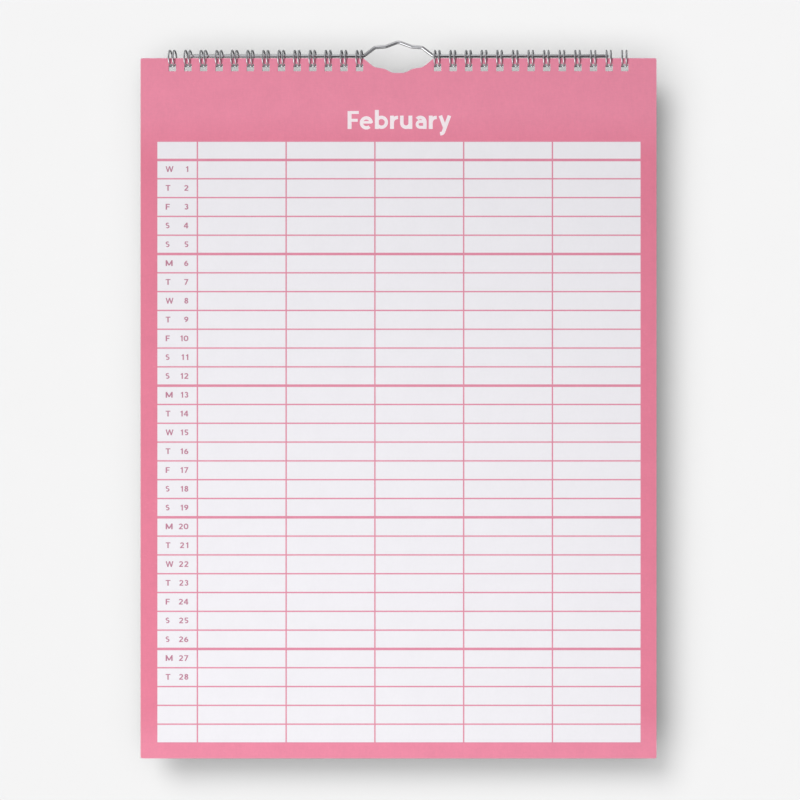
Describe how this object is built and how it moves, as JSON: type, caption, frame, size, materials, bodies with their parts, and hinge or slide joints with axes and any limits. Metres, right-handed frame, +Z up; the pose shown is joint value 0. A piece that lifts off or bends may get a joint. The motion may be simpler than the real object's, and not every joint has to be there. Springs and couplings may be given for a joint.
{
  "type": "wall calendar",
  "caption": "Wire-bound wall calendar with a printed month leaf, leaves behind it, a back board, twin-loop wire combs and a bent-wire hanger for a nail.",
  "frame": {"origin": "the nail seat: the underside of the hanger wire at the top of its hump, in the middle of the calendar's width", "axes": "+Z up as the calendar hangs, +X to the right of someone reading it, -Y out of the printed face towards the reader"},
  "size_m": [0.28, 0.0092, 0.39],
  "materials": {
    "printed_paper": "matt, pink border and ruling printed on white",
    "leaf_paper": "matt white, uncoated",
    "back_card": "matt grey-white card",
    "loop_wire": "bright silver coated steel wire",
    "hanger_wire": "bright silver coated steel wire"
  },
  "bodies": {
    "hanger": {"hanger": "hanger_wire"},
    "binding": {"left_wire_comb": "loop_wire", "right_wire_comb": "loop_wire", "leaf_block": "leaf_paper", "back_board": "back_card"},
    "month_leaf": {"month_leaf": "printed_paper"}
  },
  "joints": [
    {"name": "hanger_fold", "type": "hinge", "parent": "hanger", "child": "binding", "pos_m": [0, 0, -0.0064], "axis": [-1, 0, 0], "range_deg": [-180, 180]},
    {"name": "leaf_turn", "type": "hinge", "parent": "binding", "child": "month_leaf", "pos_m": [0, -0.00197, -0.00805], "axis": [-1, 0, 0], "range_deg": [0, 150]}
  ]
}
